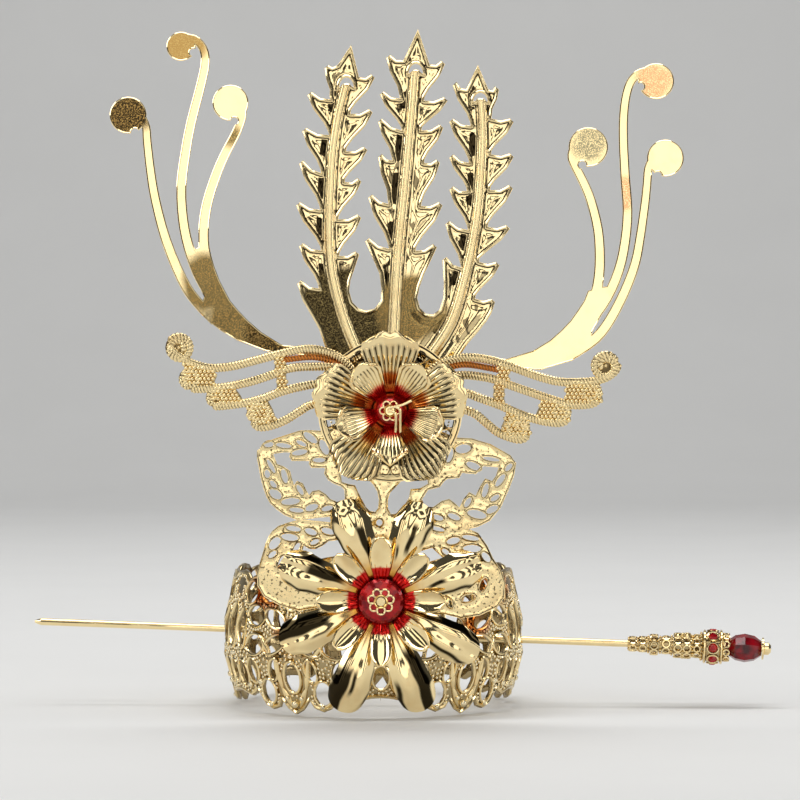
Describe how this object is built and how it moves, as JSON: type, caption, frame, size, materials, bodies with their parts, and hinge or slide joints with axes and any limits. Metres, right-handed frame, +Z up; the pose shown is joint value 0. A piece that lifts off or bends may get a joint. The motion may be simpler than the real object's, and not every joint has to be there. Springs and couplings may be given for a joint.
{
  "type": "hair crown",
  "caption": "Gold filigree hair crown for a bun: pierced cuff, leaf panel, two flowers with red centres, wings, antennae, a feather plume and a hairpin with a dark red crystal.",
  "frame": {"origin": "centre of the cuff's lower rim, on the cuff's axis", "axes": "+Z up along the cuff's axis, the front with the flowers faces -Y, +X to the right as seen from the front, where the hairpin's head is"},
  "size_m": [0.1783, 0.0827, 0.1606],
  "materials": {
    "gold": "polished and gold plated",
    "red_lacquer": "glossy red lacquer",
    "red_stone": "cut and polished",
    "dark_crystal": "cut and polished"
  },
  "bodies": {
    "crown": {"cuff": "gold", "leaf_panel": "gold", "plume": "gold", "antenna_left": "gold", "antenna_right": "gold", "wing_left": "gold", "wing_right": "gold", "upper_backing": "gold", "upper_large_petals": "gold", "upper_small_petals": "gold", "upper_dome": "red_lacquer", "upper_cap": "gold", "upper_wire": "gold", "upper_post": "gold", "lower_large_petals": "gold", "lower_small_petals": "gold", "lower_dome": "red_lacquer", "lower_cap": "gold", "lower_post": "gold"},
    "hairpin": {"pin_rod": "gold", "pin_sleeve": "gold", "pin_stones": "red_stone", "pin_crystal": "dark_crystal", "pin_end_cap": "gold"}
  },
  "joints": [
    {"name": "pin_slide", "type": "slide", "parent": "crown", "child": "hairpin", "axis": [0.9981, -0.0523, -0.0332], "range_m": [-0.024, 0.125]}
  ]
}
